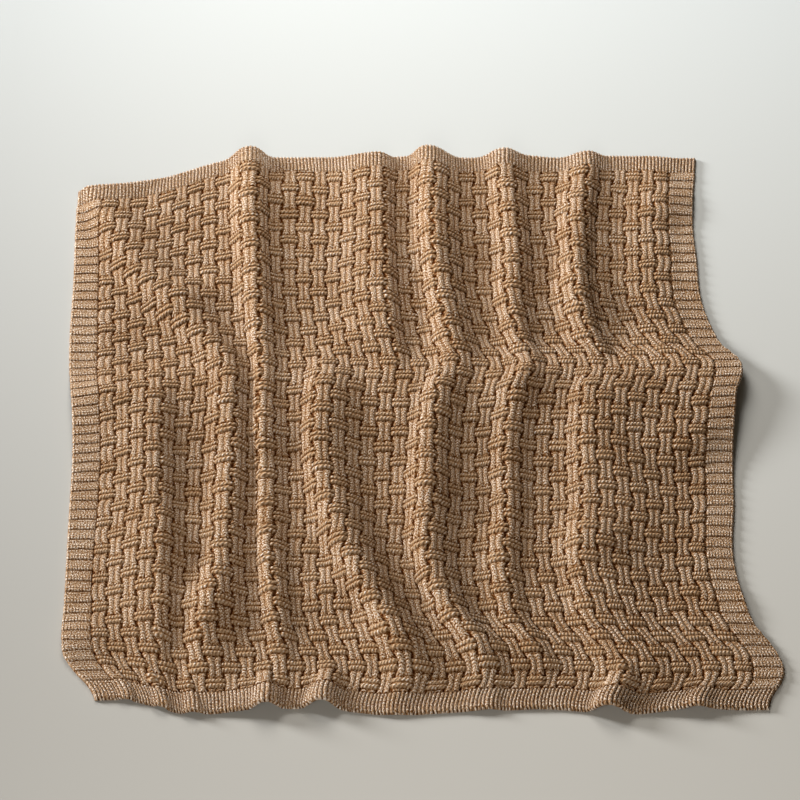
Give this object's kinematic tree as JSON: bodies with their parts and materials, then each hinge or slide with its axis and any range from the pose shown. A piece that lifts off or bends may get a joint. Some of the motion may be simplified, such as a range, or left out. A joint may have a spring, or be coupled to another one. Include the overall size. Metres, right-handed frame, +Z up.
{
  "type": "knit throw blanket",
  "caption": "Chunky knit throw laid out with long soft folds, in basket weave with ribbed hems and ridged side borders.",
  "frame": {"origin": "middle of the bounding box, at the floor that the throw lies on", "axes": "+X runs across the throw from its left side border to its right, +Y along it towards the far hem, +Z up"},
  "size_m": [1.2996, 1.5314, 0.0478],
  "materials": {
    "yarn": "matt heathered camel yarn"
  },
  "bodies": {
    "root": {"throw": "yarn"}
  },
  "joints": []
}
